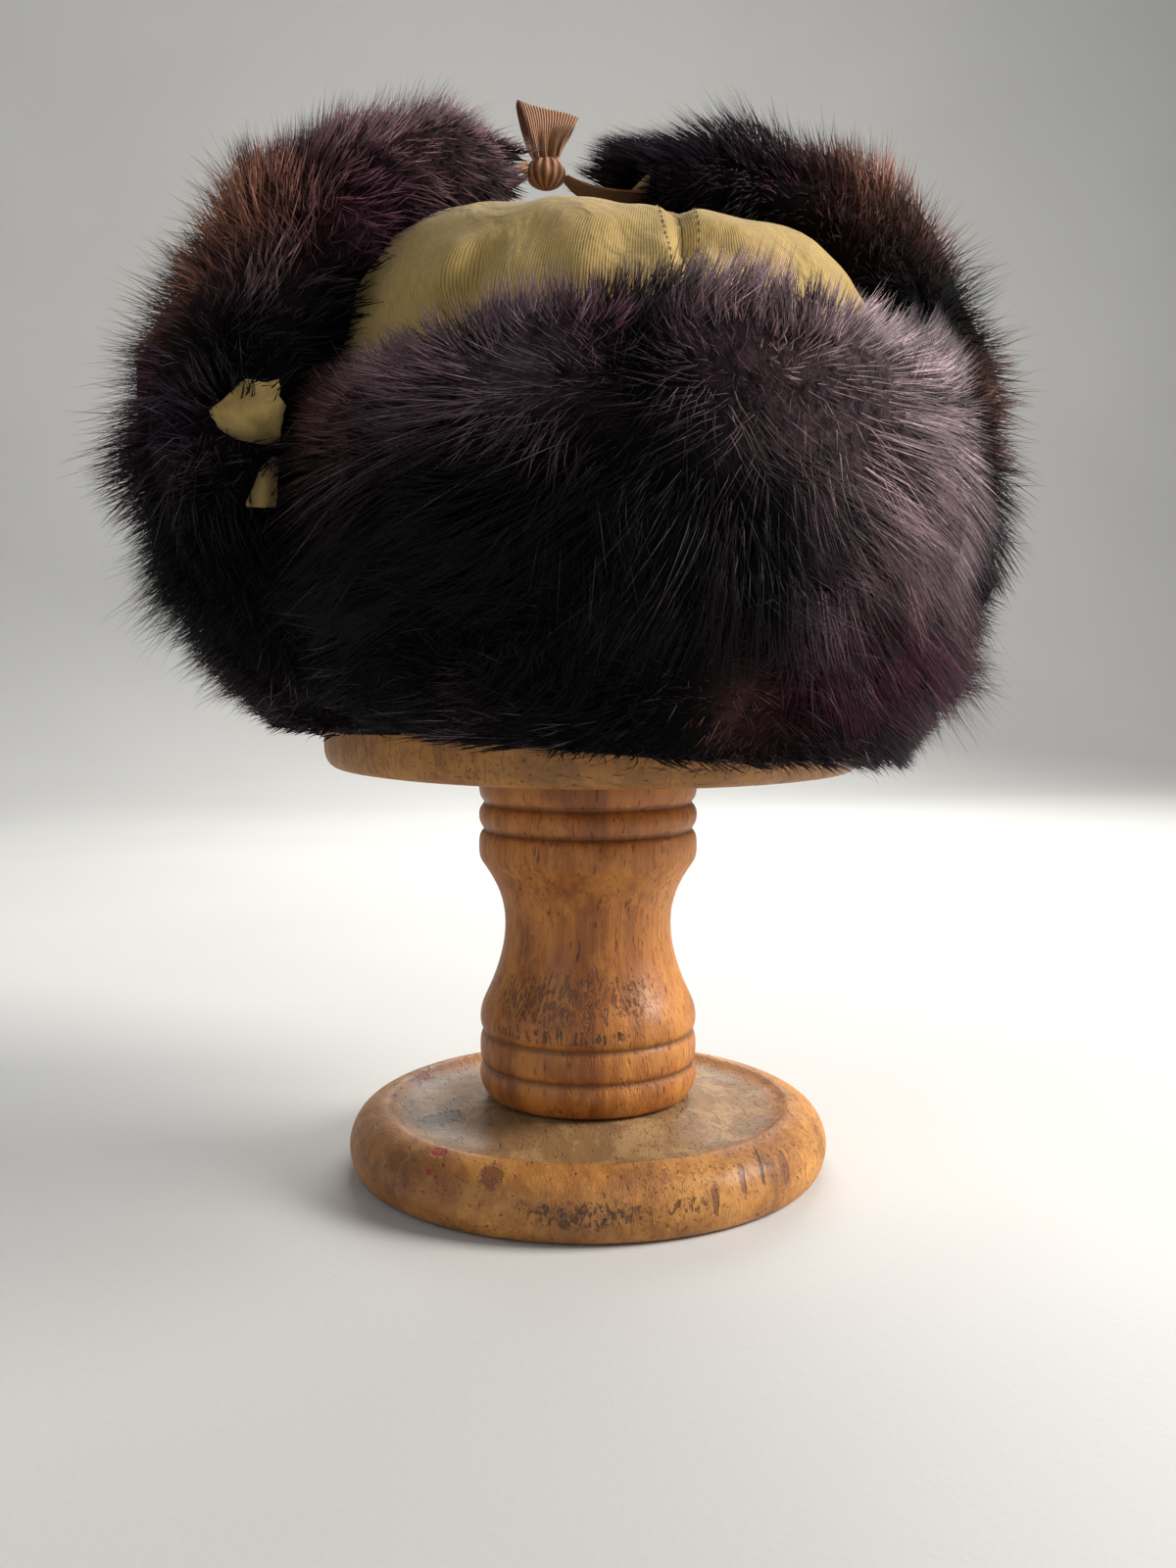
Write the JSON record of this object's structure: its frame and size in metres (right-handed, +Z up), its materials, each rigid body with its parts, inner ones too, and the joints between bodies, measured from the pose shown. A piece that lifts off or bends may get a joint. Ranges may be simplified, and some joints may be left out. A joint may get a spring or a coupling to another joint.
{
  "type": "ushanka on a wooden hat stand",
  "caption": "Fur ushanka with a khaki cloth crown, its ear flaps tied up in a ribbon bow, on a turned wooden hat stand with an oval block.",
  "frame": {"origin": "centre of the stand's flat foot, on the surface that it rests on", "axes": "+Z up the stand's stem, -Y toward the hat's front, +X to the right as seen from the front. Node names use left and right in that sense."},
  "size_m": [0.2699, 0.2725, 0.3278],
  "materials": {
    "turned_wood": "varnished, worn",
    "block_wood": "waxed, dull",
    "khaki_cotton": "ribbed weave, matte",
    "dark_fur": "dyed, soft sheen",
    "grosgrain": "ribbed, satin"
  },
  "bodies": {
    "root": {"stand_base": "turned_wood", "stand_stem": "turned_wood", "hat_block": "block_wood", "crown_gore_front_right": "khaki_cotton", "crown_gore_back_right": "khaki_cotton", "crown_gore_back_left": "khaki_cotton", "crown_gore_front_left": "khaki_cotton", "front_flap_cloth": "khaki_cotton", "ear_flap_right_cloth": "khaki_cotton", "neck_flap_cloth": "khaki_cotton", "ear_flap_left_cloth": "khaki_cotton", "front_flap_fur": "dark_fur", "ear_flap_right_fur": "dark_fur", "neck_flap_fur": "dark_fur", "ear_flap_left_fur": "dark_fur", "bow_knot": "grosgrain", "tie_left": "grosgrain", "tie_right": "grosgrain", "bow_loop": "grosgrain", "bow_tail": "grosgrain"}
  },
  "joints": []
}
